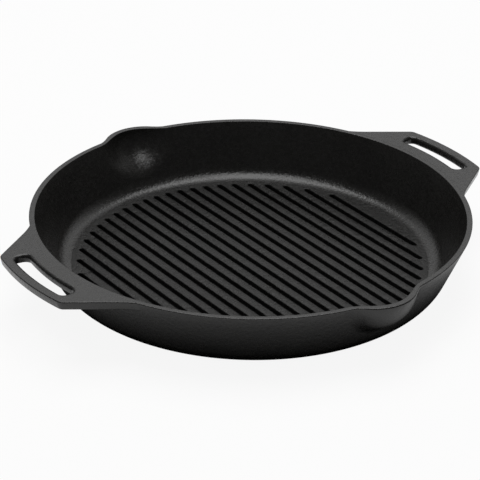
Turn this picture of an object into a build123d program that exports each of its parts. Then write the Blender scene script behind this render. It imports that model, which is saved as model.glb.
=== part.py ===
from build123d import *
import os
from math import acos, asin, cos, degrees, radians, sin, sqrt, tan

# A round cast-iron grill pan: a ribbed floor, a leaning wall, two opposite pouring
# spouts and two opposite loop handles that lie flush with the rim.
# Millimetres and degrees. The origin is the centre of the flat base, +Z is up, the
# handles lie along X and the spouts along Y.
# The real pan is one iron casting. Here it is divided where one feature ends and the
# next begins, and each feature is a closed solid that meets its neighbours face to face.

# The pan
rim_diameter = 351.0
pan_height = 52.4
wall_lean = 23.0
wall_thickness = 4.4
base_corner_radius = 22.5
floor_fillet_radius = 13.5
floor_thickness = 4.2
rim_edge_radius = 0.7

# The grill ribs and the grooves between them, one groove more than there are ribs
rib_count = 22
rib_height = 4.0
rib_edge_radius = 0.8
groove_width = 4.2
groove_end_margin = 5.2
outer_groove_margin = 12.13

# The loop handles
handle_projection = 32.5
handle_thickness = 7.2
handle_draft = 12.0
handle_tip_width = 87.2
handle_flare = 33.7
handle_corner_radius = 7.0
handle_root_radius = 80.0
handle_top_edge_radius = 0.8
handle_lower_edge_radius = 1.5
handle_bar_width = 9.2
slot_width = 12.1
slot_length = 70.0
slot_corner_radius = 4.5
slot_edge_radius = 2.8

# The pouring spouts
spout_projection = 11.2
spout_radius = 34.2
spout_depth = 31.0
spout_wall = 5.2
spout_bottom = 4.0
spout_outer_blend_radius = 4.0
spout_inner_blend_radius = 8.0

# Sizes of the wall and the floor that follow from the ones above
rim_radius = rim_diameter / 2
wall_slope = tan(radians(wall_lean))
wall_run = wall_thickness / cos(radians(wall_lean))
rim_inner_radius = rim_radius - wall_run
floor_top = floor_thickness + rib_height
base_corner_reach = rim_radius - wall_slope * pan_height
floor_corner_reach = rim_inner_radius - wall_slope * (pan_height - floor_top)
floor_radius = floor_corner_reach - floor_fillet_radius * tan(radians(90 - wall_lean) / 2)

# Sizes of the grooves, which end on one circle and share the floor evenly
groove_field_radius = floor_radius - groove_end_margin
groove_pitch = 2 * (groove_field_radius - outer_groove_margin) / rib_count
groove_centres = [(index - rib_count / 2) * groove_pitch for index in range(rib_count + 1)]
groove_reaches = [sqrt(groove_field_radius**2 - centre**2) for centre in groove_centres]

# Sizes of the ribs, each from one groove to the next. A rib ends a little before the
# straight part of its shorter groove does.
rib_width = groove_pitch - groove_width
rib_end_margin = groove_width / 2 + rib_edge_radius
rib_centres = [centre + groove_pitch / 2 for centre in groove_centres[:-1]]
rib_reaches = [min(pair) - rib_end_margin for pair in zip(groove_reaches, groove_reaches[1:])]

# Sizes of the handles. The root arcs touch a circle just inside the wall, so that
# the sides of the handle run out on the slope of the wall.
handle_reach = rim_radius + handle_projection
slot_outer_radius = handle_reach - handle_bar_width
slot_inner_radius = slot_outer_radius - slot_width
slot_half_angle = degrees(slot_length / (slot_outer_radius + slot_inner_radius))
tip_corner_x = sqrt(handle_reach**2 - (handle_tip_width / 2) ** 2)
root_circle_radius = rim_radius - wall_slope * handle_thickness - handle_top_edge_radius / 2
side_offset = tip_corner_x * sin(radians(handle_flare)) + handle_tip_width / 2 * cos(radians(handle_flare))
root_offset = degrees(acos((side_offset + handle_root_radius) / (root_circle_radius + handle_root_radius)))
handle_root_angle = 90 - handle_flare - root_offset

# Sizes of the spouts
spout_centre = rim_radius + spout_projection - spout_radius
pocket_radius = spout_radius - spout_wall
pocket_depth = spout_depth - spout_bottom
spout_half_angle = degrees(asin((spout_radius + spout_wall) / rim_radius))

# One length that reaches past the whole pan, for tools that cut it
overrun = rim_diameter

os.makedirs("parts", exist_ok=True)


def keep(piece, name):
    """Label a finished piece and write it to its own file."""
    piece.part.label = name
    export_step(piece.part, f"parts/{name}.step")
    print(f"{name}: {piece.part.volume / 1000:.2f} cm3")


def opposite_wedges(half_angle, heading):
    """Two opposite wedges of the plan, from the pan's centre to past its reach."""
    half_width = overrun * tan(radians(half_angle))
    with BuildSketch() as wedges:
        with PolarLocations(0, 2, start_angle=heading):
            Polygon((0, 0), (overrun, -half_width), (overrun, half_width), align=None)
    return wedges.sketch


# The bowl, turned from one outline: from the centre of the base round the base corner,
# up the outer wall, over the rim, down the inner wall and round the floor fillet to
# the level of the rib tops
with BuildPart() as bowl:
    with BuildSketch(Plane.XZ) as bowl_section:
        with BuildLine():
            Polyline(
                (0, 0),
                (base_corner_reach, 0),
                (rim_radius, pan_height),
                (rim_inner_radius, pan_height),
                (floor_corner_reach, floor_top),
                (0, floor_top),
                close=True,
            )
        make_face()
        base_corner = bowl_section.vertices().sort_by_distance((base_corner_reach, 0))[0]
        fillet(base_corner, base_corner_radius)
        floor_corner = bowl_section.vertices().sort_by_distance((floor_corner_reach, floor_top))[0]
        fillet(floor_corner, floor_fillet_radius)
    revolve(axis=Axis.Z)

# The floor below the grooves
with BuildPart() as floor_plate:
    add(bowl.part)
    with BuildSketch():
        Circle(floor_radius)
    extrude(amount=floor_thickness, mode=Mode.INTERSECT)
keep(floor_plate, "floor_plate")

# The flat border round the ribs, level with their tops, with the round ends of the
# grooves cut into it. Its edges along the grooves are rounded as the ribs' are.
with BuildPart() as floor_border:
    with BuildSketch(Plane.XY.offset(floor_thickness)):
        Circle(floor_radius)
        for centre, reach in zip(groove_centres, groove_reaches):
            with Locations((centre, 0)):
                SlotOverall(2 * reach, groove_width, rotation=90, mode=Mode.SUBTRACT)
        for centre, reach in zip(rib_centres, rib_reaches):
            with Locations((centre, 0)):
                Rectangle(rib_width, 2 * reach, mode=Mode.SUBTRACT)
    extrude(amount=rib_height)
    inner_edges = floor_border.faces().sort_by(Axis.Z)[-1].inner_wires()[0].edges()
    rib_ends = [edge for edge in inner_edges.filter_by(Axis.X) if edge.length > groove_width]
    fillet([edge for edge in inner_edges if edge not in rib_ends], rib_edge_radius)
keep(floor_border, "floor_border")

# The ribs, each a bar with a groove on either side
for index, (centre, reach) in enumerate(zip(rib_centres, rib_reaches), start=1):
    with BuildPart() as rib:
        with BuildSketch(Plane.XY.offset(floor_thickness)):
            with Locations((centre, 0)):
                Rectangle(rib_width, 2 * reach)
        extrude(amount=rib_height)
        fillet(rib.edges().group_by(Axis.Z)[-1].filter_by(Axis.Y), rib_edge_radius)
    keep(rib, f"rib_{index:02d}")

# The wall with its rim, from the edge of the floor outwards
with BuildPart() as wall_ring:
    add(bowl.part)
    with BuildSketch():
        Circle(floor_radius)
    extrude(amount=overrun, mode=Mode.SUBTRACT)

# The two stretches of wall that carry a handle. The rim is rounded on its inner edge
# only, because its top runs on into the top of the handle.
with BuildPart() as handle_walls:
    add(wall_ring.part)
    extrude(opposite_wedges(handle_root_angle, 0), amount=overrun, mode=Mode.INTERSECT)
    rim_arcs = handle_walls.edges().filter_by(GeomType.CIRCLE).group_by(Axis.Z)[-1]
    fillet(rim_arcs.group_by(SortBy.RADIUS)[0], rim_edge_radius)
for name, stretch in zip(("left_wall", "right_wall"), handle_walls.solids().sort_by(Axis.X)):
    with BuildPart() as wall:
        add(stretch)
    keep(wall, name)

# The four plain stretches of wall, each between a handle and a spout, with both edges
# of the rim rounded
with BuildPart() as plain_walls:
    add(wall_ring.part)
    extrude(opposite_wedges(handle_root_angle, 0), amount=overrun, mode=Mode.SUBTRACT)
    extrude(opposite_wedges(spout_half_angle, 90), amount=overrun, mode=Mode.SUBTRACT)
    rim_arcs = plain_walls.edges().filter_by(GeomType.CIRCLE).group_by(Axis.Z)[-1]
    fillet(rim_arcs, rim_edge_radius)
stretches = plain_walls.solids().sort_by(Axis.Y)
for side, pair in (("front", stretches[:2]), ("rear", stretches[2:])):
    for name, stretch in zip((f"{side}_left_wall", f"{side}_right_wall"), pair.sort_by(Axis.X)):
        with BuildPart() as wall:
            add(stretch)
        keep(wall, name)

# The lump outside a spout, half an ellipse turned about an upright axis with its centre
# on the rim plane. It starts from the middle of the wall, clear of the inside.
with BuildPart() as spout_lump:
    with BuildSketch(Plane.XZ.offset(spout_centre)):
        with Locations((0, pan_height)):
            Ellipse(spout_radius, spout_depth)
            with Locations((spout_radius / 2, -spout_depth / 2)):
                Rectangle(spout_radius, spout_depth, mode=Mode.INTERSECT)
    revolve(axis=Axis((0, -spout_centre, 0), (0, 0, 1)))
    Cone(
        bottom_radius=base_corner_reach - wall_run / 2,
        top_radius=rim_radius - wall_run / 2,
        height=pan_height,
        align=(Align.CENTER, Align.CENTER, Align.MIN),
        mode=Mode.SUBTRACT,
    )

# The pocket inside a spout, a smaller form of the same kind that leaves the spout's wall
# round it and its bottom below it
with BuildPart() as spout_pocket:
    with BuildSketch(Plane.XZ.offset(spout_centre)):
        with Locations((0, pan_height)):
            Ellipse(pocket_radius, pocket_depth)
            with Locations((pocket_radius / 2, 0)):
                Rectangle(pocket_radius, 2 * pocket_depth, mode=Mode.INTERSECT)
    revolve(axis=Axis((0, -spout_centre, 0), (0, 0, 1)))

# The front spout: its stretch of wall with the lump added and the pocket taken out,
# both blended into the wall, and the rim's edges rounded all along
with BuildPart() as front_spout:
    add(wall_ring.part)
    extrude(opposite_wedges(spout_half_angle, 90), amount=overrun, mode=Mode.INTERSECT)
    with BuildSketch():
        with Locations((0, overrun / 2)):
            Rectangle(overrun, overrun)
    extrude(amount=overrun, mode=Mode.SUBTRACT)
    add(spout_lump.part)
    add(spout_pocket.part, mode=Mode.SUBTRACT)
    lump_face = front_spout.faces().filter_by(GeomType.REVOLUTION).sort_by(Axis.Y)[0]
    fillet(lump_face.edges().sort_by(Axis.Z)[0], spout_outer_blend_radius)
    pocket_face = front_spout.faces().filter_by(GeomType.REVOLUTION).sort_by(Axis.Y)[-1]
    fillet(pocket_face.edges().sort_by(Axis.Z)[0], spout_inner_blend_radius)
    rim_face = front_spout.faces().sort_by(Axis.Z)[-1]
    fillet(rim_face.edges().filter_by(lambda edge: edge.geom_type != GeomType.LINE), rim_edge_radius)
keep(front_spout, "front_spout")

with BuildPart() as rear_spout:
    add(front_spout.part, rotation=(0, 0, 180))
keep(rear_spout, "rear_spout")

# The finger slots of both handles, bent round the pan's centre
with BuildSketch() as finger_slots:
    Circle(slot_outer_radius)
    Circle(slot_inner_radius, mode=Mode.SUBTRACT)
    add(opposite_wedges(slot_half_angle, 0), mode=Mode.INTERSECT)
    fillet(finger_slots.vertices(), slot_corner_radius)

# The plate of a handle, upside down with its top on the ground: flaring sides, a curved
# tip and curved roots that run out on the wall. Its sides lean in towards its underside,
# as they must to leave the mould.
with BuildPart() as handle_plate:
    with BuildSketch() as handle_plan:
        start_x = root_circle_radius / 2
        start_y = handle_tip_width / 2 + (tip_corner_x - start_x) * tan(radians(handle_flare))
        apex_x = tip_corner_x + handle_tip_width / 2 / tan(radians(handle_flare))
        Polygon((start_x, start_y), (start_x, -start_y), (apex_x, 0), align=None)
        Circle(handle_reach, mode=Mode.INTERSECT)
        fillet(handle_plan.vertices().sort_by(Axis.X)[-2:], handle_corner_radius)
        Circle(root_circle_radius)
        fillet(handle_plan.vertices().sort_by(Axis.X)[:2], handle_root_radius)
    extrude(amount=handle_thickness, taper=handle_draft)
    fillet(handle_plate.edges().group_by(Axis.Z)[0], handle_top_edge_radius)
    fillet(handle_plate.edges().group_by(Axis.Z)[-1], handle_lower_edge_radius)

# The right handle: its plate turned over, with its top level with the rim, the finger
# slot cut through it and everything inside the wall's outer face cut off
with BuildPart() as right_handle:
    with Locations((0, 0, pan_height)):
        add(handle_plate.part, rotation=(180, 0, 0))
    extrude(finger_slots.sketch, amount=overrun, mode=Mode.SUBTRACT)
    flat_faces = right_handle.faces().filter_by(Plane.XY)
    fillet([edge for face in flat_faces for edge in face.inner_wires()[0].edges()], slot_edge_radius)
    Cone(
        bottom_radius=base_corner_reach,
        top_radius=rim_radius + wall_slope * handle_thickness,
        height=pan_height + handle_thickness,
        align=(Align.CENTER, Align.CENTER, Align.MIN),
        mode=Mode.SUBTRACT,
    )
keep(right_handle, "right_handle")

with BuildPart() as left_handle:
    add(right_handle.part, rotation=(0, 0, 180))
keep(left_handle, "left_handle")
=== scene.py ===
from math import asin, atan2, cos, pi, radians, sin, sqrt, tan

import bpy
import numpy as np
from bpy.props import FloatProperty, FloatVectorProperty, PointerProperty
from bpy.types import Operator, Panel, PropertyGroup
from mathutils import Matrix, Vector


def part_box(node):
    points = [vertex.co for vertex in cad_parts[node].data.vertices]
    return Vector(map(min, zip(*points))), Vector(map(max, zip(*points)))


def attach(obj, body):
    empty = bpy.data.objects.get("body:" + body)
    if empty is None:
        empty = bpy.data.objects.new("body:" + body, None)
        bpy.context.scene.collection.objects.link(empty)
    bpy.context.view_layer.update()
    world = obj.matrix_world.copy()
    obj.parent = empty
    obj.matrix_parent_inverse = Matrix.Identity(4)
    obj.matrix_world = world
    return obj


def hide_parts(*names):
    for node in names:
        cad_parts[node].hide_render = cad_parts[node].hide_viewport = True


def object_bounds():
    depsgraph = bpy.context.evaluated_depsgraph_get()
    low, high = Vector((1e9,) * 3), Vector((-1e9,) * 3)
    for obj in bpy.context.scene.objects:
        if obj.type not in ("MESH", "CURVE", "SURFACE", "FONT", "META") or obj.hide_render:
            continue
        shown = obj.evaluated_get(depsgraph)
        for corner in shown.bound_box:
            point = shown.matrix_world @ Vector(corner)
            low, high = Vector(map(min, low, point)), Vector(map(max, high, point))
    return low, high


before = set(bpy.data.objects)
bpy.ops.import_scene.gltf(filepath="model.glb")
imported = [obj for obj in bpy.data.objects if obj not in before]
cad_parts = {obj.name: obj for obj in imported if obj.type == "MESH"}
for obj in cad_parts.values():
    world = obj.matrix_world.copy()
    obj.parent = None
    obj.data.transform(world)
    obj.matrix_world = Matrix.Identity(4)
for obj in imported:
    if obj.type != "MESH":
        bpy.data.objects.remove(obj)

# The looks of a round cast-iron grill pan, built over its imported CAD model. Metres and
# radians, in the frame's own place: +Z is up, the handles lie along X, the spouts along Y.

bl_info = {
    "name": "Cast-iron grill pan",
    "version": (1, 0, 0),
    "blender": (4, 5, 0),
    "location": "3D View > Sidebar > Grill Pan",
    "description": "Builds a cast-iron grill pan, its studio and its camera over the packed model",
    "category": "Object",
}

CAD_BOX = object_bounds()

# Sizes that the frame gives
PAN_HEIGHT = CAD_BOX[1].z
HANDLE_REACH = CAD_BOX[1].x
SPOUT_REACH = CAD_BOX[1].y
RIM_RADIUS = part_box("right_wall")[1].x
FLOOR_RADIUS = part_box("floor_border")[1].x
GROOVE_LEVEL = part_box("floor_plate")[1].z
RIB_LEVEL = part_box("rib_01")[1].z
RIB_NAMES = sorted(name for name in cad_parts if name.startswith("rib_"))
RIB_BOXES = [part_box(name) for name in RIB_NAMES]

ROUND = 2 * pi
UPRIGHT = pi / 2

# Edges that bend less than this are shaded smooth
SMOOTH_LIMIT = radians(38)

# How finely the wall is cut: turns about the axis, and steps up a plain wall and a spout
WALL_TURN = radians(0.75)
WALL_STEPS = 4
SPOUT_TURNS = 128
SPOUT_STEPS = 44

# How often the search for the blended spout's surface halves its range
HALVINGS = 32

# Steps round the plate and round a groove's half circle, and the border's longest turn
PLATE_TURNS = 240
GROOVE_END_STEPS = 16
BORDER_TURN = radians(2)

# Points of a rib's rounded edge with the flat strip's start, and inner points of its top
EDGE_POINTS = 7
TOP_POINTS = 7

# Width of the flat strip beside an edge's arc, as a share of the arc's radius
EDGE_STRIP = 0.25

# How far the handles' tops lie below the rim, so that the faces aren't in one plane
RIM_COVER = 0.00003

# The grooves' painted shade deepens from the ribs' tops down to this depth, and fades out between
# these two heights, which count from the grooves' bottoms
SHADE_DEPTH = 0.0018
SHADE_END = (-0.0006, -0.0002)

# How much each pattern changes the iron's tone and its roughness, from its low to its high
CLOUD_TONE, SPECKLE_TONE, GRAIN_TONE = 0.5, 0.8, 0.5
CLOUD_ROUGHNESS, SPECKLE_ROUGHNESS, GRAIN_ROUGHNESS = 0.22, 0.35, 0.12

# The lightest tone that the patterns reach, as a multiple of the iron's colour
TONE_LIMIT = 1.6

# Sizes of the speckle and the clouds, as multiples of the grain's size and the waves' size,
# and the height of the speckle as a multiple of the grain's height
SPECKLE_SIZE = 2.4
CLOUD_SIZE = 2.5
SPECKLE_HEIGHT = 1.6

# How far the studio's floor lies below the base
STAGE_DROP = 0.0002

# For the camera: the tone of the floor's paper, and the share of it that no shadow dims
FLOOR_TONE = 0.95
FLOOR_GLOW = 0.9

# Painted shadow: for the pan's rays the floor's colour is black up to the first distance from the
# axis and full from the second, so it lights the pan only from further off
FLOOR_BOUNCE = (0.154, 0.236)

# The backdrop grows from its least to full brightness as a ray's heading nears the camera's
# and as it rises, both measured as the ray's share in that direction
BACKDROP_LEAST = 0.05
BACKDROP_FACING = (0.2, 0.9)
BACKDROP_RISE = (0.15, 0.45)


class PanSizes(PropertyGroup):
    """Sizes of the bowl, its floor and its spouts that no box of the frame gives."""

    wall_lean: FloatProperty(
        name="Wall lean", description="Angle between the wall and the upright",
        default=radians(23), subtype="ANGLE")
    wall_thickness: FloatProperty(
        name="Wall thickness", description="Thickness of the wall, square to its face",
        default=0.0044, unit="LENGTH", precision=4)
    base_corner_radius: FloatProperty(
        name="Base corner", description="Radius between the flat base and the outer wall",
        default=0.0225, unit="LENGTH", precision=4)
    floor_fillet_radius: FloatProperty(
        name="Floor fillet", description="Radius between the inner wall and the floor",
        default=0.0135, unit="LENGTH", precision=4)
    rim_edge_radius: FloatProperty(
        name="Rim edge", description="Rounding of both edges of the rim",
        default=0.0007, unit="LENGTH", precision=4)
    groove_end_margin: FloatProperty(
        name="Groove end margin",
        description="Flat floor left between the groove ends and the fillet",
        default=0.0052, unit="LENGTH", precision=4)
    rib_edge_radius: FloatProperty(
        name="Rib edge", description="Rounding of the upper edges along the grooves",
        default=0.0008, unit="LENGTH", precision=4)
    rib_foot_radius: FloatProperty(
        name="Rib foot", description="Rounding between a groove's side and its bottom",
        default=0.0009, unit="LENGTH", precision=4)
    rib_draft: FloatProperty(
        name="Rib draft", description="Angle of a groove's sides from the upright",
        default=radians(4), subtype="ANGLE")
    rib_crown: FloatProperty(
        name="Rib crown", description="How much higher a rib's top is along its middle",
        default=0.00028, unit="LENGTH", precision=5)
    spout_radius: FloatProperty(
        name="Spout radius", description="Radius of a spout seen from above, outside",
        default=0.0342, unit="LENGTH", precision=4)
    spout_depth: FloatProperty(
        name="Spout depth", description="Depth of a spout below the rim, outside",
        default=0.031, unit="LENGTH", precision=4)
    spout_wall: FloatProperty(
        name="Spout wall", description="Thickness of the metal round a spout",
        default=0.0052, unit="LENGTH", precision=4)
    spout_bottom: FloatProperty(
        name="Spout bottom", description="Thickness of the metal below a spout's pocket",
        default=0.004, unit="LENGTH", precision=4)
    spout_outer_blend: FloatProperty(
        name="Outer spout blend", description="Radius where a spout runs into the outer wall",
        default=0.004, unit="LENGTH", precision=4)
    spout_inner_blend: FloatProperty(
        name="Inner spout blend",
        description="Radius where a spout's pocket runs into the inner wall",
        default=0.008, unit="LENGTH", precision=4)


class HandleSizes(PropertyGroup):
    """Sizes of a loop handle."""

    thickness: FloatProperty(
        name="Thickness", description="Thickness of the handle's plate",
        default=PAN_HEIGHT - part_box("right_handle")[0].z, unit="LENGTH", precision=4)
    draft: FloatProperty(
        name="Draft", description="Angle by which the sides lean in towards the underside",
        default=radians(12), subtype="ANGLE")
    tip_width: FloatProperty(
        name="Tip width", description="Width of the tip between its corners",
        default=0.0872, unit="LENGTH", precision=4)
    flare: FloatProperty(
        name="Flare", description="Angle of the handle's sides from the handle's own line",
        default=radians(33.7), subtype="ANGLE")
    corner_radius: FloatProperty(
        name="Corner radius", description="Radius of the tip's two corners",
        default=0.007, unit="LENGTH", precision=4)
    root_radius: FloatProperty(
        name="Root radius", description="Radius of the arcs that run out on the wall",
        default=0.08, unit="LENGTH", precision=4)
    top_edge_radius: FloatProperty(
        name="Top edge", description="Rounding of the upper outer edge",
        default=0.0008, unit="LENGTH", precision=4)
    lower_edge_radius: FloatProperty(
        name="Lower edge", description="Rounding of the lower outer edge",
        default=0.0015, unit="LENGTH", precision=4)
    bar_width: FloatProperty(
        name="Bar width", description="Metal between the finger slot and the tip",
        default=0.0092, unit="LENGTH", precision=4)
    slot_width: FloatProperty(
        name="Slot width", description="Width of the finger slot",
        default=0.0121, unit="LENGTH", precision=4)
    slot_length: FloatProperty(
        name="Slot length", description="Length of the finger slot along its middle",
        default=0.07, unit="LENGTH", precision=4)
    slot_corner_radius: FloatProperty(
        name="Slot corner", description="Radius of the finger slot's corners",
        default=0.0045, unit="LENGTH", precision=4)
    slot_edge_radius: FloatProperty(
        name="Slot edge", description="Rounding of the finger slot's edges",
        default=0.0028, unit="LENGTH", precision=4)


class IronFinish(PropertyGroup):
    """Colour and grain of the cast iron."""

    body_colour: FloatVectorProperty(
        name="Body iron", description="Colour of the wall, the rim and the handles",
        default=(0.0135, 0.013, 0.0122), subtype="COLOR")
    # Painted shade: the floor and the ribs get a darker copy of the body's colour, standing in for
    # the shade inside the bowl
    shaded_grill_colour: FloatVectorProperty(
        name="Grill iron", description="Colour of the floor and the ribs",
        default=(0.0105, 0.0102, 0.0096), subtype="COLOR")
    # Painted shade: the share of the grill's colour left in the grooves, which darkens them as
    # shade would
    painted_groove_shade: FloatProperty(
        name="Groove shade", description="Share of the colour that is left down in the grooves",
        default=0.3, subtype="FACTOR")
    roughness: FloatProperty(
        name="Roughness", description="Mean roughness of the wall, the rim and the handles",
        default=0.25, subtype="FACTOR")
    grill_roughness: FloatProperty(
        name="Grill roughness", description="Mean roughness of the floor and the ribs",
        default=0.32, subtype="FACTOR")
    gloss: FloatProperty(
        name="Gloss",
        description="Refractive index of the wall's, the rim's and the handles' surface",
        default=1.5)
    grill_gloss: FloatProperty(
        name="Grill gloss",
        description="Refractive index of the floor's and the ribs' drier surface",
        default=1.33)
    grain_size: FloatProperty(
        name="Grain size", description="Size of the sand grain left by the mould",
        default=0.0013, unit="LENGTH", precision=5)
    grain_height: FloatProperty(
        name="Grain height", description="Height of the sand grain",
        default=0.00017, unit="LENGTH", precision=6)
    grill_coarseness: FloatProperty(
        name="Grill coarseness",
        description="How much higher the grain is on the floor and the ribs",
        default=3.0)
    wave_size: FloatProperty(
        name="Wave size", description="Size of the slow waves of the cast surface",
        default=0.014, unit="LENGTH", precision=4)
    wave_height: FloatProperty(
        name="Wave height", description="Height of the slow waves",
        default=0.00006, unit="LENGTH", precision=6)


class StudioSettings(PropertyGroup):
    """Camera, lamp, floor and the room's light."""

    heading: FloatProperty(
        name="Heading", description="Direction in which the camera looks, from +Y towards +X",
        default=radians(36.4), subtype="ANGLE")
    elevation: FloatProperty(
        name="Elevation", description="Height of the camera above the horizon, as an angle",
        default=radians(27.354), subtype="ANGLE")
    roll: FloatProperty(
        name="Roll", description="Turn of the camera about its own line of sight",
        default=radians(1.023), subtype="ANGLE")
    distance: FloatProperty(
        name="Distance", description="Distance from the camera to the point that it looks at",
        default=1.6549, unit="LENGTH")
    aim_height: FloatProperty(
        name="Aim height", description="Height of the point that the camera looks at",
        default=0.02976, unit="LENGTH", precision=4)
    lens: FloatProperty(
        name="Lens", description="Focal length in millimetres on a 36 mm sensor",
        default=155.67)
    shift_right: FloatProperty(
        name="Shift right", description="Sideways shift of the picture",
        default=-0.02183)
    shift_up: FloatProperty(
        name="Shift up", description="Upward shift of the picture",
        default=-0.01037)
    lamp_width: FloatProperty(
        name="Lamp width", description="Width of the softbox overhead, across the camera's view",
        default=1.0, unit="LENGTH")
    lamp_depth: FloatProperty(
        name="Lamp depth", description="Depth of the softbox overhead, along the camera's view",
        default=1.5, unit="LENGTH")
    lamp_height: FloatProperty(
        name="Lamp height", description="Height of the softbox above the floor",
        default=1.6, unit="LENGTH")
    lamp_setback: FloatProperty(
        name="Lamp setback", description="How far behind the pan the softbox hangs",
        default=0.35, unit="LENGTH")
    lamp_power: FloatProperty(
        name="Lamp power", description="Power of the softbox in watts",
        default=17.0)
    room_level: FloatProperty(
        name="Room level", description="Strength of the light that comes from all round",
        default=0.3)
    floor_bounce: FloatProperty(
        name="Floor bounce", description="Share of the light that the floor sends back to the pan",
        default=0.5, subtype="FACTOR")
    floor_size: FloatProperty(
        name="Floor size", description="Side of the floor",
        default=12.0, unit="LENGTH")


# Meshes: every shape is a few arrays of points, and faces that join their rows

def arc(centre, radius, start, end, steps):
    """Points centre + radius (cos a, sin a), with a going evenly from start to end."""
    angle = np.linspace(start, end, steps + 1)
    return np.asarray(centre) + radius * np.column_stack([np.cos(angle), np.sin(angle)])


def run(start, end, steps):
    """The inner points of a straight line cut into equal steps, without its two ends."""
    share = np.linspace(0, 1, steps + 1)[1:-1, None]
    return (1 - share) * np.asarray(start) + share * np.asarray(end)


def strip_faces(rows, first=0):
    """Faces between rows of closed loops, as an array of four corners each.

    rows is the array of points (row, place on the loop, xyz). Seen with the loop going
    counterclockwise and the rows going down, the faces point outwards."""
    row_count, loop_length = rows.shape[:2]
    row, place = np.meshgrid(np.arange(row_count - 1), np.arange(loop_length), indexing="ij")
    after = (place + 1) % loop_length
    upper = first + row * loop_length
    lower = upper + loop_length
    corners = [upper + place, lower + place, lower + after, upper + after]
    return np.stack(corners, axis=-1).reshape(-1, 4)


def add_piece(name, points, faces, material):
    """Make one closed mesh that stands for the CAD node of its name, and dress it."""
    mesh = bpy.data.meshes.new(f"iron_{name}")
    mesh.from_pydata(points.reshape(-1, 3).tolist(), [], [list(map(int, face)) for face in faces])
    mesh.validate()
    mesh.shade_smooth()
    mesh.set_sharp_from_angle(angle=SMOOTH_LIMIT)
    mesh.materials.append(material)
    piece = bpy.data.objects.new(f"iron_{name}", mesh)
    bpy.context.scene.collection.objects.link(piece)
    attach(piece, "root")
    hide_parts(name)


# The bowl

def base_corner(pan):
    """Where the flat base ends, and the angle on its corner's arc where the wall begins.

    The arc touches the base plane and the leaning wall; the wall begins on it straight
    below the floor's edge."""
    flat_reach = (RIM_RADIUS - tan(pan.wall_lean) * PAN_HEIGHT
                  - pan.base_corner_radius * tan((UPRIGHT - pan.wall_lean) / 2))
    return flat_reach, -np.arccos((FLOOR_RADIUS - flat_reach) / pan.base_corner_radius)


def bowl_section(pan, wall_steps):
    """Outline of the wall from the base's edge over the rim to the floor's edge.

    Two arrays of (distance from the axis, height), outside and inside. Each is an arc, a
    straight leaning line and the arc of the rim's edge, tangent to each other."""
    lean = pan.wall_lean
    across = pan.wall_thickness / cos(lean)
    sharp_run = tan((UPRIGHT - lean) / 2)
    blunt_run = tan((UPRIGHT + lean) / 2)
    edge = pan.rim_edge_radius
    base_reach, base_start = base_corner(pan)
    base_centre = (base_reach, pan.base_corner_radius)
    floor_centre = (FLOOR_RADIUS, RIB_LEVEL + pan.floor_fillet_radius)
    outer_centre = (RIM_RADIUS - edge / sharp_run, PAN_HEIGHT - edge)
    inner_centre = (RIM_RADIUS - across + edge / blunt_run, PAN_HEIGHT - edge)
    base_arc = arc(base_centre, pan.base_corner_radius, base_start, -lean, steps=16)
    outer_arc = arc(outer_centre, edge, -lean, UPRIGHT, steps=8)
    inner_arc = arc(inner_centre, edge, UPRIGHT, pi - lean, steps=6)
    # The floor fillet's steps get finer towards the floor, where it ends on a flat face
    share = np.linspace(1, 0, 25)[:, None] ** 1.5
    angle = -UPRIGHT + share * (UPRIGHT - lean)
    floor_arc = floor_centre + pan.floor_fillet_radius * np.hstack([np.cos(angle), np.sin(angle)])
    outside = np.vstack([base_arc, run(base_arc[-1], outer_arc[0], wall_steps), outer_arc])
    inside = np.vstack([inner_arc, run(inner_arc[-1], floor_arc[0], wall_steps), floor_arc])
    return outside, inside


def bulged(radius, height, turn, top_radius, bulge_radius, bulge_depth, blend, pan):
    """The distances of a wall's face from the axis, once a bulge is blended into it.

    The bulge is half an ellipse turned about an upright axis on the rim plane. The two
    distances to a point, to the leaning wall and to the bulge, join in a rounded union,
    max(R, min(a, b)) - hypot(max(R - a, 0), max(R - b, 0)), whose zero is found by
    halving. Each point moves out by as much as that stands out from the plain wall at its
    height. turn is the angle from the spout's own direction."""
    wall_radius = top_radius - tan(pan.wall_lean) * (PAN_HEIGHT - height)
    centre = SPOUT_REACH - pan.spout_radius
    low = np.broadcast_to(wall_radius - blend, np.broadcast(turn, wall_radius).shape)
    high = np.full(low.shape, SPOUT_REACH + blend)
    drop = height - PAN_HEIGHT
    for _ in range(HALVINGS):
        middle = (low + high) / 2
        reach = (middle * np.cos(turn) - centre) ** 2 + (middle * np.sin(turn)) ** 2
        scaled = np.sqrt(reach / bulge_radius**2 + drop**2 / bulge_depth**2)
        steepness = np.sqrt(reach / bulge_radius**4 + drop**2 / bulge_depth**4)
        to_bulge = scaled * (scaled - 1) / steepness
        to_wall = (middle - wall_radius) * cos(pan.wall_lean)
        corner = np.hypot(np.maximum(blend - to_wall, 0), np.maximum(blend - to_bulge, 0))
        inside = np.maximum(blend, np.minimum(to_wall, to_bulge)) < corner
        low = np.where(inside, middle, low)
        high = np.where(inside, high, middle)
    return radius + (low + high) / 2 - wall_radius


def spout_half_angle(pan):
    """Half the stretch of wall that a spout takes, seen from the axis."""
    return asin((pan.spout_radius + pan.spout_wall) / RIM_RADIUS)


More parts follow.
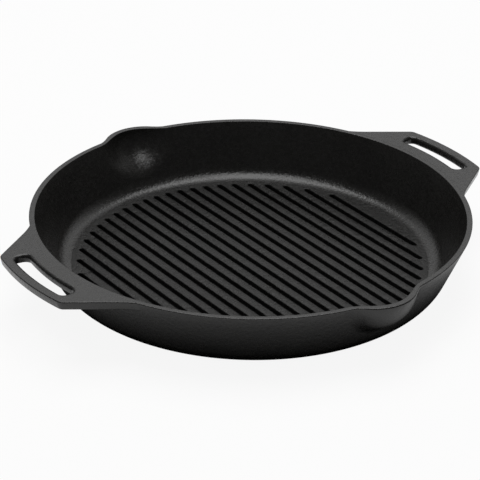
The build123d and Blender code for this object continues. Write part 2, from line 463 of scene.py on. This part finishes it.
def wall_stretch(name, start, end, turn_steps, material, pan, spout_heading=None):
    """One stretch of the bowl's wall, its outline turned about the axis from start to end."""
    outside, inside = bowl_section(pan, WALL_STEPS if spout_heading is None else SPOUT_STEPS)
    turn = np.linspace(start, end, turn_steps + 1)[:, None]
    outer_radius = np.broadcast_to(outside[:, 0], (len(turn), len(outside)))
    inner_radius = np.broadcast_to(inside[:, 0], (len(turn), len(inside)))
    if spout_heading is not None:
        aside = turn - spout_heading
        across = pan.wall_thickness / cos(pan.wall_lean)
        outer_radius = bulged(outer_radius, outside[:, 1], aside, RIM_RADIUS, pan.spout_radius,
                              pan.spout_depth, pan.spout_outer_blend, pan)
        inner_radius = bulged(inner_radius, inside[:, 1], aside, RIM_RADIUS - across,
                              pan.spout_radius - pan.spout_wall,
                              pan.spout_depth - pan.spout_bottom, pan.spout_inner_blend, pan)
    radius = np.hstack([outer_radius, inner_radius])
    height = np.broadcast_to(np.concatenate([outside[:, 1], inside[:, 1]]), radius.shape)
    points = np.stack([radius * np.cos(turn), radius * np.sin(turn), height], axis=-1)
    start_cap = np.arange(radius.shape[1])
    end_cap = radius.size - 1 - start_cap
    faces = list(strip_faces(points)[:, ::-1]) + [start_cap, end_cap]
    add_piece(name, points, faces, material)


# The floor: a plate, a border and ribs

def groove_layout(pan):
    """Centre lines, half width and ends of the grooves, which lie between the ribs' boxes.

    A groove's end is a half circle whose furthest point is on the groove field's circle."""
    lows = np.array([box[0].x for box in RIB_BOXES])
    highs = np.array([box[1].x for box in RIB_BOXES])
    half_width = (lows[1] - highs[0]) / 2
    between = (highs[:-1] + lows[1:]) / 2
    centres = np.concatenate([[lows[0] - half_width], between, [highs[-1] + half_width]])
    field_radius = FLOOR_RADIUS - pan.groove_end_margin
    return centres, half_width, np.sqrt(field_radius**2 - centres**2) - half_width


def groove_side(pan):
    """Outline of a groove's side, as (distance into the metal, height), from top to bottom.

    A flat strip, the rounded upper edge, the drafted side, the rounded foot, and a last
    step down into the floor plate."""
    edge, foot, draft = pan.rib_edge_radius, pan.rib_foot_radius, pan.rib_draft
    # The flat strip's start and the edge's arc are the first EDGE_POINTS points
    flat = [((1 + EDGE_STRIP) * edge, RIB_LEVEL)]
    edge_arc = arc((edge, RIB_LEVEL - edge), edge, UPRIGHT, pi - draft, steps=EDGE_POINTS - 2)
    # The foot's arc starts where the leaning side, from the end of the edge's arc, meets it
    drop = edge_arc[-1, 1] - (GROOVE_LEVEL + foot * (1 - sin(draft)))
    side_end = edge_arc[-1, 0] - drop * tan(draft)
    foot_centre = (side_end - foot * cos(draft), GROOVE_LEVEL + foot)
    foot_arc = arc(foot_centre, foot, -draft, -UPRIGHT, steps=5)
    painted_shade_mask = [(foot_centre[0], GROOVE_LEVEL - 0.1 * foot)]
    return np.vstack([flat, edge_arc, foot_arc, painted_shade_mask])


def build_ribs(material, pan):
    """The ribs: the outline of a groove's side and its mirror image, carried along Y.

    Their tops are slightly crowned: RIB_LEVEL - crown s^2, with s from -1 to 1 across."""
    side = groove_side(pan)
    side[:EDGE_POINTS, 1] -= pan.rib_crown
    sink = side[-1, 1] - pan.rib_foot_radius
    share = np.linspace(1, -1, TOP_POINTS + 2)[1:-1]
    for name, (low, high) in zip(RIB_NAMES, RIB_BOXES):
        left = np.column_stack([low.x + side[:, 0], side[:, 1]])
        right = np.column_stack([high.x - side[:, 0], side[:, 1]])[::-1]
        bottom = [(right[0, 0], sink), (left[-1, 0], sink)]
        middle = (low.x + high.x) / 2
        half_top = (high.x - low.x) / 2 - side[0, 0]
        crown = RIB_LEVEL - pan.rib_crown * share**2
        top = np.column_stack([middle + share * half_top, crown])
        outline = np.vstack([left, bottom, right, top])
        count = len(outline)
        points = np.empty((2, count, 3))
        points[..., [0, 2]] = outline
        points[..., 1] = [[high.y], [low.y]]
        caps = [np.arange(count)[::-1], np.arange(count, 2 * count)]
        add_piece(name, points, list(strip_faces(points)) + caps, material)


def border_path(centres, straights):
    """The closed path along the border's inner side, as centres and unit normals.

    Heading -Y and then +Y, it goes round the half circle at each groove's end and straight
    across each rib's end. Also gives where on the path each half circle has its middle."""
    rib_reaches = [box[1].y for box in RIB_BOXES]
    swing = np.linspace(0, pi, GROOVE_END_STEPS + 1)
    around = np.column_stack([np.cos(swing), np.sin(swing)])
    bases, normals, apexes = [], [], []
    for heading in (-1, 1):
        for index in range(len(centres))[::-heading]:
            # The ribs beside this groove, in the order in which the path meets them
            before, after = (index - 1, index)[::-heading]
            places = np.full(around.shape, (centres[index], heading * straights[index]))
            turned = heading * around
            if 0 <= before < len(rib_reaches):
                places = np.vstack([[(centres[index], heading * rib_reaches[before])], places])
                turned = np.vstack([turned[:1], turned])
            apexes.append(sum(map(len, bases)) + len(places) - 1 - GROOVE_END_STEPS // 2)
            if 0 <= after < len(rib_reaches):
                places = np.vstack([places, [(centres[index], heading * rib_reaches[after])]])
                turned = np.vstack([turned, turned[-1:]])
            bases.append(places)
            normals.append(turned)
    return np.vstack(bases), np.vstack(normals), apexes


def border_circle(centres, radius):
    """Angles on the border's outer circle, with one straight beyond each groove's end.

    Also gives where those are in the list, with the list's length at the end."""
    front = np.arctan2(-np.sqrt(radius**2 - centres**2), centres)
    stations = np.concatenate([front, -front[::-1], [front[0] + ROUND]])
    gaps = [np.linspace(a, b, max(3, int((b - a) / BORDER_TURN)), endpoint=False)
            for a, b in zip(stations[:-1], stations[1:])]
    return np.concatenate(gaps), np.concatenate([[0], np.cumsum([len(gap) for gap in gaps])])


def build_border(material, pan):
    """The flat border round the ribs.

    Its inner side is the outline of a groove's side carried along the closed path: a point
    is base + (half width + distance into the metal) times the path's own normal. Faces
    join each stretch of the path, from one groove's end to the next, to the outer circle."""
    centres, half_width, straights = groove_layout(pan)
    base, normal, apexes = border_path(centres, straights)
    side = groove_side(pan)
    inner = np.empty((len(side), len(base), 3))
    inner[..., :2] = base + (half_width + side[:, 0])[:, None, None] * normal
    inner[..., 2] = side[:, 1:]

    # The border reaches a little into the wall
    outer_radius = FLOOR_RADIUS + EDGE_STRIP * pan.rib_edge_radius
    angle, marks = border_circle(centres, outer_radius)
    outer = np.empty((2, len(angle), 3))
    outer[..., 0] = outer_radius * np.cos(angle)
    outer[..., 1] = outer_radius * np.sin(angle)
    outer[..., 2] = [[RIB_LEVEL], [side[-1, 1]]]

    points = np.vstack([inner.reshape(-1, 3), outer.reshape(-1, 3)])
    start = inner.shape[0] * inner.shape[1]
    faces = list(strip_faces(inner)[:, ::-1]) + list(strip_faces(outer, start))
    for place in range(len(apexes)):
        beyond = np.arange(marks[place], marks[place + 1] + 1) % len(angle)
        last = apexes[(place + 1) % len(apexes)]
        last += len(base) if last < apexes[place] else 0
        path = np.arange(last, apexes[place] - 1, -1) % len(base)
        faces.append(np.concatenate([start + beyond, path]))
        bottom_path = path + (len(side) - 1) * len(base)
        faces.append(np.concatenate([start + len(angle) + beyond, bottom_path])[::-1])
    add_piece("floor_border", points, faces, material)


def build_plate(material, pan):
    """The plate below the grooves: circles from its top's edge round the base's corner."""
    flat_reach, corner_angle = base_corner(pan)
    rounding = pan.base_corner_radius
    corner = arc((flat_reach, rounding), rounding, corner_angle, -UPRIGHT, steps=4)
    # The last circle lies on the base itself, so that its shading stays flat
    outline = np.vstack([(FLOOR_RADIUS, GROOVE_LEVEL), corner, (0.99 * flat_reach, 0)])
    turn = np.linspace(0, ROUND, PLATE_TURNS, endpoint=False)
    points = np.empty((len(outline), PLATE_TURNS, 3))
    points[..., 0] = outline[:, :1] * np.cos(turn)
    points[..., 1] = outline[:, :1] * np.sin(turn)
    points[..., 2] = outline[:, 1:]
    top = np.arange(PLATE_TURNS)
    caps = [top, len(outline) * PLATE_TURNS - 1 - top]
    add_piece("floor_plate", points, list(strip_faces(points)) + caps, material)


# The handles

def tip_reach(handle):
    """Distance from the axis to the sharp edge that the tip's rounding replaces.

    It lies a little beyond the rounding's furthest point."""
    return HANDLE_REACH + handle.top_edge_radius * (tan(handle.draft) + 1 / cos(handle.draft) - 1)


def handle_edge(handle, pan):
    """Points and normals of half the handle's edge, and the angle where its root ends.

    The edge is the arc of the tip, the corner's arc, the straight flaring side and the
    root's arc, which ends where it touches a circle just inside the wall. On arcs the
    normal is the direction from the arc's centre, or to it at the root."""
    reach = tip_reach(handle)
    corner_x = sqrt(reach**2 - (handle.tip_width / 2) ** 2)
    side_offset = corner_x * sin(handle.flare) + handle.tip_width / 2 * cos(handle.flare)
    side_angle = UPRIGHT - handle.flare
    side_normal = np.array([cos(side_angle), sin(side_angle)])
    side_line = np.array([sin(side_angle), -cos(side_angle)])
    corner_offset = side_offset - handle.corner_radius
    corner_along = sqrt((reach - handle.corner_radius) ** 2 - corner_offset**2)
    corner = corner_offset * side_normal + corner_along * side_line
    corner_angle = atan2(corner[1], corner[0])
    root_circle = RIM_RADIUS - tan(pan.wall_lean) * handle.thickness - handle.top_edge_radius / 2
    spread = np.arccos((side_offset + handle.root_radius) / (root_circle + handle.root_radius))
    root_angle = side_angle - spread
    root = (root_circle + handle.root_radius) * np.array([cos(root_angle), sin(root_angle)])
    tip = arc((0, 0), reach, 0, corner_angle, steps=14)
    bend = arc(corner, handle.corner_radius, corner_angle, side_angle, steps=10)
    root_turn = np.linspace(side_angle, root_angle, 37)
    toward_root = np.column_stack([np.cos(root_turn), np.sin(root_turn)])
    root_arc = root - handle.root_radius * toward_root
    side = run(bend[-1], root_arc[0], steps=6)
    edge = np.vstack([tip, bend[1:], side, root_arc])
    edge_normals = np.vstack([tip / reach, (bend[1:] - corner) / handle.corner_radius,
                              np.broadcast_to(side_normal, side.shape), toward_root])
    return edge, edge_normals, root_angle


def slot_edge(handle):
    """Points and normals of half the finger slot's edge.

    The edge is two arcs about the pan's axis, joined at the slot's end by two corner arcs.
    The normals point into the metal."""
    outer_radius = tip_reach(handle) - handle.bar_width
    inner_radius = outer_radius - handle.slot_width
    half_angle = handle.slot_length / (outer_radius + inner_radius)
    rounding = handle.slot_corner_radius
    far, near = outer_radius - rounding, inner_radius + rounding
    far_angle = half_angle - asin(rounding / far)
    near_angle = half_angle - asin(rounding / near)
    far_centre = far * np.array([cos(far_angle), sin(far_angle)])
    near_centre = near * np.array([cos(near_angle), sin(near_angle)])
    end_angle = half_angle + UPRIGHT
    arcs = [
        (arc((0, 0), outer_radius, 0, far_angle, steps=10), (0, 0), 1),
        (arc(far_centre, rounding, far_angle, end_angle, steps=10)[1:], far_centre, 1),
        (arc(near_centre, rounding, end_angle, near_angle + pi, steps=10), near_centre, 1),
        (arc((0, 0), inner_radius, near_angle, 0, steps=10)[1:], (0, 0), -1),
    ]
    slot = np.vstack([points for points, _, _ in arcs])
    slot_normals = np.vstack([sign * (points - centre) for points, centre, sign in arcs])
    return slot, slot_normals / np.linalg.norm(slot_normals, axis=1, keepdims=True)


def mirrored(points):
    """A half path from the X axis to the X axis, followed by its image across that axis."""
    return np.vstack([points, (points * (1, -1))[-2:0:-1]])


def plate_edge(top_radius, lower_radius, draft, low, high):
    """Outline of a plate's rounded edge, as (distance into the metal, height), from the top.

    A flat strip, an arc, the side, which leans in by the draft towards the underside, an
    arc and a flat strip. The distance counts from the sharp edge that the top would have."""
    upper_inset = top_radius * (tan(draft) + 1 / cos(draft))
    lower_inset = (high - low - lower_radius) * tan(draft) + lower_radius / cos(draft)
    upper_centre = (upper_inset, high - top_radius)
    lower_centre = (lower_inset, low + lower_radius)
    upper = arc(upper_centre, top_radius, UPRIGHT, pi + draft, steps=6)
    lower = arc(lower_centre, lower_radius, pi + draft, 3 * UPRIGHT, steps=6)
    strip = (EDGE_STRIP * top_radius, 0)
    return np.vstack([upper[0] + strip, upper, lower, lower[-1] + strip])


def build_handle(name, side, material, handle, pan):
    """A loop handle: the outline of a plate's edge carried round the handle and its slot.

    Points that would come nearer to the axis than the middle of the wall's metal are
    moved out to it, so that the handle grows out of the wall. Inside the wall the plate
    ends on a hidden arc. The top lies a hair below the rim, which covers it there."""
    edge, edge_normals, root_angle = handle_edge(handle, pan)
    slot, slot_normals = slot_edge(handle)
    high, low = PAN_HEIGHT - RIM_COVER, PAN_HEIGHT - handle.thickness
    across = pan.wall_thickness / cos(pan.wall_lean)
    outline = plate_edge(handle.top_edge_radius, handle.lower_edge_radius, handle.draft, low, high)
    rounding = handle.slot_edge_radius
    slot_outline = plate_edge(rounding, rounding, 0, low, high)
    outer_wall = RIM_RADIUS - tan(pan.wall_lean) * (PAN_HEIGHT - outline[:, 1])

    half = edge - outline[:, :1, None] * edge_normals
    radius = np.hypot(half[..., 0], half[..., 1])
    # Rows that are further into the plate end a little deeper in the wall
    least = outer_wall[:, None] - 0.5 * across - 0.1 * outline[:, :1]
    half = half * (np.maximum(radius, least) / radius)[..., None]
    root_turn = np.linspace(root_angle, 0, 25)[1:]
    hidden_radius = outer_wall[:, None] - 0.8 * across + 0.2 * outline[:, :1]
    toward = np.column_stack([np.cos(root_turn), np.sin(root_turn)])
    half = np.concatenate([half, hidden_radius[..., None] * toward], axis=1)
    slot_half = slot + slot_outline[:, :1, None] * slot_normals

    loops = []
    for flat, levels in ((half, outline), (slot_half, slot_outline)):
        whole = np.stack([mirrored(row) for row in flat])
        heights = np.broadcast_to(levels[:, 1][:, None, None], whole.shape[:2] + (1,))
        loops.append(np.concatenate([side * whole, heights], axis=-1))
    outer, inner = loops
    start = outer.shape[0] * outer.shape[1]
    outer_half, inner_half = half.shape[1], slot_half.shape[1]
    faces = list(strip_faces(outer)) + list(strip_faces(inner, start)[:, ::-1])
    # The top and the underside: one face each on either side of the handle's own line
    outer_count, inner_count = outer.shape[1], inner.shape[1]
    for row_out, row_in, flip in ((0, 0, 1), (outer.shape[0] - 1, inner.shape[0] - 1, -1)):
        out_first, in_first = row_out * outer_count, start + row_in * inner_count
        near_out = out_first + np.arange(outer_half)
        near_in = in_first + np.arange(inner_half)
        far_out = out_first + np.arange(outer_half - 1, outer_count + 1) % outer_count
        far_in = in_first + np.arange(inner_half - 1, inner_count + 1) % inner_count
        faces.append(np.concatenate([near_out, near_in[::-1]])[::flip])
        faces.append(np.concatenate([far_out, far_in[::-1]])[::flip])
    points = np.vstack([outer.reshape(-1, 3), inner.reshape(-1, 3)])
    add_piece(name, points, faces, material)


# Materials

class Wire:
    """A node's output that takes part in arithmetic, which adds the Math nodes for it."""

    def __init__(self, sheet, socket):
        self.sheet = sheet
        self.socket = socket

    def math(self, operation, *values):
        return self.sheet.add("ShaderNodeMath", {"operation": operation}, dict(enumerate(values)))

    def __add__(self, other):
        return self.math("ADD", self, other)

    __radd__ = __add__

    def __sub__(self, other):
        return self.math("SUBTRACT", self, other)

    def __rsub__(self, other):
        return self.math("SUBTRACT", other, self)

    def __mul__(self, other):
        return self.math("MULTIPLY", self, other)

    __rmul__ = __mul__

    def __truediv__(self, other):
        return self.math("DIVIDE", self, other)

    def least(self, other):
        return self.math("MINIMUM", self, other)

    def most(self, other):
        return self.math("MAXIMUM", self, other)

    def ramp(self, start, end):
        """0 below start, 1 above end, and a smooth slope between."""
        return self.sheet.add("ShaderNodeMapRange", {"interpolation_type": "SMOOTHSTEP"},
                              {"Value": self, "From Min": start, "From Max": end})

    def beside(self, output):
        """Another output of the same node."""
        return Wire(self.sheet, self.socket.node.outputs[output])


class NodeSheet:
    """The nodes of a material or of the world."""

    def __init__(self, tree):
        self.tree = tree
        tree.nodes.clear()

    def add(self, kind, settings, inputs, output=0):
        """Add one node, set its settings, fill or link its sockets, and return an output."""
        node = self.tree.nodes.new(kind)
        for name, value in settings.items():
            setattr(node, name, value)
        for key, value in inputs.items():
            if isinstance(value, Wire):
                self.tree.links.new(value.socket, node.inputs[key])
            else:
                node.inputs[key].default_value = value
        return Wire(self, node.outputs[output]) if node.outputs else None

    def noise(self, place, size, detail=2.0, roughness=0.5):
        """Noise about 0.5, with features of the given size in metres."""
        sockets = {"Vector": place, "Scale": 1 / size, "Detail": detail, "Roughness": roughness}
        return self.add("ShaderNodeTexNoise", {}, sockets)

    def tint(self, share, first, second):
        """Mix two colours by a share."""
        return self.add("ShaderNodeMix", {"data_type": "RGBA"},
                        {"Factor": share, 6: first, 7: second}, output=2)


def iron(name, colour, painted_groove_shade, mean_roughness, gloss, coarseness, finish):
    """Seasoned cast iron: sand grain, slow waves, cloudy tone, a patchy dull sheen and painted
    shade in the grooves.

    Tone and roughness are a mean plus a weight times (pattern - 0.5) for each pattern. The
    relief is the grain and the speckle, which stand for the sand, and the slow waves."""
    material = bpy.data.materials.new(name)
    material.use_nodes = True
    sheet = NodeSheet(material.node_tree)
    place = sheet.add("ShaderNodeTexCoord", {}, {}, output="Object")
    height = sheet.add("ShaderNodeSeparateXYZ", {}, {"Vector": place}, output="Z")

    grain = sheet.noise(place, finish.grain_size, detail=3.0, roughness=0.6)
    speckle = sheet.noise(place, SPECKLE_SIZE * finish.grain_size)
    waves = sheet.noise(place, finish.wave_size)
    cloud = sheet.noise(place, CLOUD_SIZE * finish.wave_size, detail=3.0)

    # Painted shade: down in the grooves the iron's colour is darkened, standing in for the shade
    # there
    painted_shade_mask = (height.ramp(RIB_LEVEL, RIB_LEVEL - SHADE_DEPTH)
            * height.ramp(GROOVE_LEVEL + SHADE_END[0], GROOVE_LEVEL + SHADE_END[1]))
    shade = 1 - painted_shade_mask * (1 - painted_groove_shade)
    tone = shade * (1 + CLOUD_TONE * (cloud - 0.5) + SPECKLE_TONE * (speckle - 0.5)
                    + GRAIN_TONE * (grain - 0.5))
    dark = (0, 0, 0, 1)
    full = (*(TONE_LIMIT * channel for channel in colour), 1)
    base = sheet.tint((tone / TONE_LIMIT).least(1.0), dark, full)
    roughness = (mean_roughness + CLOUD_ROUGHNESS * (cloud - 0.5)
                 + SPECKLE_ROUGHNESS * (speckle - 0.5) + GRAIN_ROUGHNESS * (grain - 0.5))
    relief = ((coarseness * finish.grain_height) * (grain + SPECKLE_HEIGHT * speckle)
              + finish.wave_height * waves)
    normal = sheet.add("ShaderNodeBump", {}, {"Strength": 1.0, "Distance": 1.0, "Height": relief},
                       output="Normal")
    sockets = {"Base Color": base, "Roughness": roughness, "Normal": normal, "IOR": gloss}
    surface = sheet.add("ShaderNodeBsdfPrincipled", {}, sockets)
    sheet.add("ShaderNodeOutputMaterial", {}, {"Surface": surface})
    return material


def made(name):
    """The material of that name, which the first operator made."""
    return bpy.data.materials[name]


# The studio

def backdrop_rays(sheet):
    """Two masks: 1 for rays from the camera, and 1 for reflected and refracted rays."""
    camera_rays = sheet.add("ShaderNodeLightPath", {}, {}, output="Is Camera Ray")
    reflected, refracted = map(camera_rays.beside, ("Is Glossy Ray", "Is Transmission Ray"))
    return camera_rays, reflected.most(refracted)


class IRON_OT_finish(Operator):
    """Make the two cast-iron materials"""

    bl_idname = "grill_pan.finish"
    bl_label = "Cast iron"

    def execute(self, context):
        finish = context.scene.grill_pan_finish
        iron("body iron", finish.body_colour, 1.0, finish.roughness, finish.gloss, 1.0, finish)
        iron("shaded grill iron", finish.shaded_grill_colour, finish.painted_groove_shade, finish.grill_roughness,
             finish.grill_gloss, finish.grill_coarseness, finish)
        return {"FINISHED"}


class PAN_OT_wall(Operator):
    """Build the wall of the bowl: two stretches with handles and four plain ones"""

    bl_idname = "grill_pan.wall"
    bl_label = "Wall"

    def execute(self, context):
        pan, handle = context.scene.grill_pan_sizes, context.scene.grill_pan_handle
        root_angle = handle_edge(handle, pan)[-1]
        spout_angle = UPRIGHT - spout_half_angle(pan)
        stretches = {
            "right_wall": (-root_angle, root_angle),
            "left_wall": (pi - root_angle, pi + root_angle),
            "rear_right_wall": (root_angle, spout_angle),
            "rear_left_wall": (pi - spout_angle, pi - root_angle),
            "front_left_wall": (pi + root_angle, pi + spout_angle),
            "front_right_wall": (-spout_angle, -root_angle),
        }
        for name, (start, end) in stretches.items():
            steps = round((end - start) / WALL_TURN)
            wall_stretch(name, start, end, steps, made("body iron"), pan)
        return {"FINISHED"}


class PAN_OT_spouts(Operator):
    """Build the two pouring spouts with their stretches of wall"""

    bl_idname = "grill_pan.spouts"
    bl_label = "Spouts"

    def execute(self, context):
        pan = context.scene.grill_pan_sizes
        half = spout_half_angle(pan)
        for name, heading in (("front_spout", -UPRIGHT), ("rear_spout", UPRIGHT)):
            wall_stretch(name, heading - half, heading + half, SPOUT_TURNS, made("body iron"),
                         pan, heading)
        return {"FINISHED"}


class PAN_OT_floor(Operator):
    """Build the floor: its plate, the border round the ribs and the ribs"""

    bl_idname = "grill_pan.floor"
    bl_label = "Floor and ribs"

    def execute(self, context):
        pan = context.scene.grill_pan_sizes
        build_plate(made("shaded grill iron"), pan)
        build_border(made("shaded grill iron"), pan)
        build_ribs(made("shaded grill iron"), pan)
        return {"FINISHED"}


class PAN_OT_handles(Operator):
    """Build the two loop handles"""

    bl_idname = "grill_pan.handles"
    bl_label = "Handles"

    def execute(self, context):
        pan, handle = context.scene.grill_pan_sizes, context.scene.grill_pan_handle
        build_handle("right_handle", 1, made("body iron"), handle, pan)
        build_handle("left_handle", -1, made("body iron"), handle, pan)
        return {"FINISHED"}


class STUDIO_OT_stage(Operator):
    """Set the pale floor, the overhead softbox, the room's light and the camera"""

    bl_idname = "grill_pan.stage"
    bl_label = "Studio"

    def execute(self, context):
        studio = context.scene.grill_pan_studio
        place_camera(context.scene, studio)
        hang_lamp(context.scene, studio)
        lay_floor(context.scene, studio)
        light_room(context.scene, studio)
        context.scene.view_settings.view_transform = "Standard"
        return {"FINISHED"}


def place_camera(scene, studio):
    """Camera on a sphere round its aim, rolled about its line of sight."""
    heading, height, roll = studio.heading, studio.elevation, studio.roll
    level = Vector((cos(heading), -sin(heading), 0))
    rise = Vector((sin(heading) * sin(height), cos(heading) * sin(height), cos(height)))
    back = Vector((-sin(heading) * cos(height), -cos(heading) * cos(height), sin(height)))
    right = cos(roll) * level + sin(roll) * rise
    up = cos(roll) * rise - sin(roll) * level
    lens = bpy.data.cameras.new("camera")
    lens.lens = studio.lens
    lens.sensor_width = 36
    lens.shift_x = studio.shift_right
    lens.shift_y = studio.shift_up
    camera = bpy.data.objects.new("camera", lens)
    turn = Matrix((right, up, back)).transposed().to_4x4()
    place = Vector((0, 0, studio.aim_height)) + studio.distance * back
    camera.matrix_world = Matrix.Translation(place) @ turn
    scene.collection.objects.link(camera)
    scene.camera = camera


def hang_lamp(scene, studio):
    """An oblong softbox over the pan, set back from the camera and aimed at the pan."""
    light = bpy.data.lights.new("softbox", "AREA")
    light.shape = "RECTANGLE"
    light.size = studio.lamp_width
    light.size_y = studio.lamp_depth
    light.energy = studio.lamp_power
    lamp = bpy.data.objects.new("softbox", light)
    heading, back = studio.heading, studio.lamp_setback
    place = Vector((sin(heading) * back, cos(heading) * back, studio.lamp_height))
    across = Vector((cos(heading), -sin(heading), 0))
    toward = place.normalized()
    turn = Matrix((across, toward.cross(across), toward)).transposed().to_4x4()
    lamp.matrix_world = Matrix.Translation(place) @ turn
    scene.collection.objects.link(lamp)


def lay_floor(scene, studio):
    """A pale floor that is white away from the pan and keeps its shadow near it.

    It lies a hair below the base and is clear from below, where the underside shows."""
    half = studio.floor_size / 2
    mesh = bpy.data.meshes.new("studio_floor")
    corners = [(-half, -half), (half, -half), (half, half), (-half, half)]
    mesh.from_pydata([(x, y, -STAGE_DROP) for x, y in corners], [], [(0, 1, 2, 3)])
    material = bpy.data.materials.new("pale floor")
    material.use_nodes = True
    sheet = NodeSheet(material.node_tree)
    place = sheet.add("ShaderNodeTexCoord", {}, {}, output="Object")
    away = sheet.add("ShaderNodeVectorMath", {"operation": "LENGTH"}, {0: place}, output="Value")
    camera_rays, mirror_rays = backdrop_rays(sheet)
    # Painted shadow: near the pan the floor's colour fades to black for every ray but the camera's
    bounce = away.ramp(*FLOOR_BOUNCE)
    share = (FLOOR_GLOW * camera_rays).most(mirror_rays * bounce)
    tone = FLOOR_TONE * camera_rays + (1 - camera_rays) * (studio.floor_bounce * bounce)
    paper = sheet.add("ShaderNodeBsdfDiffuse", {}, {"Color": tone})
    white = sheet.add("ShaderNodeEmission", {}, {"Color": (1, 1, 1, 1), "Strength": 1.0})
    upper = sheet.add("ShaderNodeMixShader", {}, {0: share, 1: paper, 2: white})
    below = sheet.add("ShaderNodeNewGeometry", {}, {}, output="Backfacing")
    clear = sheet.add("ShaderNodeBsdfTransparent", {}, {})
    surface = sheet.add("ShaderNodeMixShader", {}, {0: below, 1: upper, 2: clear})
    sheet.add("ShaderNodeOutputMaterial", {}, {"Surface": surface})
    mesh.materials.append(material)
    floor = bpy.data.objects.new("studio_floor", mesh)
    scene.collection.objects.link(floor)


def light_room(scene, studio):
    """White all round for the camera, a bright backdrop and a dim near side for the pan."""
    world = bpy.data.worlds.new("room")
    world.use_nodes = True
    sheet = NodeSheet(world.node_tree)
    direction = sheet.add("ShaderNodeTexCoord", {}, {}, output="Generated")
    ahead = (sin(studio.heading), cos(studio.heading), 0)
    facing = sheet.add("ShaderNodeVectorMath", {"operation": "DOT_PRODUCT"},
                       {0: direction, 1: ahead}, output="Value")
    rise = sheet.add("ShaderNodeSeparateXYZ", {}, {"Vector": direction}, output="Z")
    camera_rays, mirror_rays = backdrop_rays(sheet)
    growth = facing.ramp(*BACKDROP_FACING) * rise.ramp(*BACKDROP_RISE)
    backdrop = BACKDROP_LEAST + (1 - BACKDROP_LEAST) * growth
    for_pan = mirror_rays * backdrop + (1 - mirror_rays) * studio.room_level
    level = camera_rays + (1 - camera_rays) * for_pan
    light = sheet.add("ShaderNodeBackground", {}, {"Color": (1, 1, 1, 1), "Strength": level})
    sheet.add("ShaderNodeOutputWorld", {}, {"Surface": light})
    scene.world = world


class PAN_PT_panel(Panel):
    """Buttons for the steps of the work, and the settings of the pan and its studio"""

    bl_idname = "PAN_PT_panel"
    bl_label = "Grill Pan"
    bl_space_type = "VIEW_3D"
    bl_region_type = "UI"
    bl_category = "Grill Pan"

    def draw(self, context):
        for operator in OPERATORS:
            self.layout.operator(operator.bl_idname)
        for group in SETTINGS:
            settings = getattr(context.scene, group)
            box = self.layout.box()
            for field in settings.__annotations__:
                box.prop(settings, field)


OPERATORS = (IRON_OT_finish, PAN_OT_wall, PAN_OT_spouts, PAN_OT_floor, PAN_OT_handles,
             STUDIO_OT_stage)
SETTINGS = {
    "grill_pan_sizes": PanSizes,
    "grill_pan_handle": HandleSizes,
    "grill_pan_finish": IronFinish,
    "grill_pan_studio": StudioSettings,
}


def register():
    for group in SETTINGS.values():
        bpy.utils.register_class(group)
    for cls in OPERATORS + (PAN_PT_panel,):
        bpy.utils.register_class(cls)
    for name, group in SETTINGS.items():
        setattr(bpy.types.Scene, name, PointerProperty(type=group))


def unregister():
    for name in SETTINGS:
        delattr(bpy.types.Scene, name)
    for cls in (PAN_PT_panel,) + OPERATORS:
        bpy.utils.unregister_class(cls)
    for group in SETTINGS.values():
        bpy.utils.unregister_class(group)


def main():
    register()
    bpy.ops.grill_pan.finish()
    bpy.ops.grill_pan.wall()
    bpy.ops.grill_pan.spouts()
    bpy.ops.grill_pan.floor()
    bpy.ops.grill_pan.handles()
    bpy.ops.grill_pan.stage()


if __name__ == "__main__":
    main()
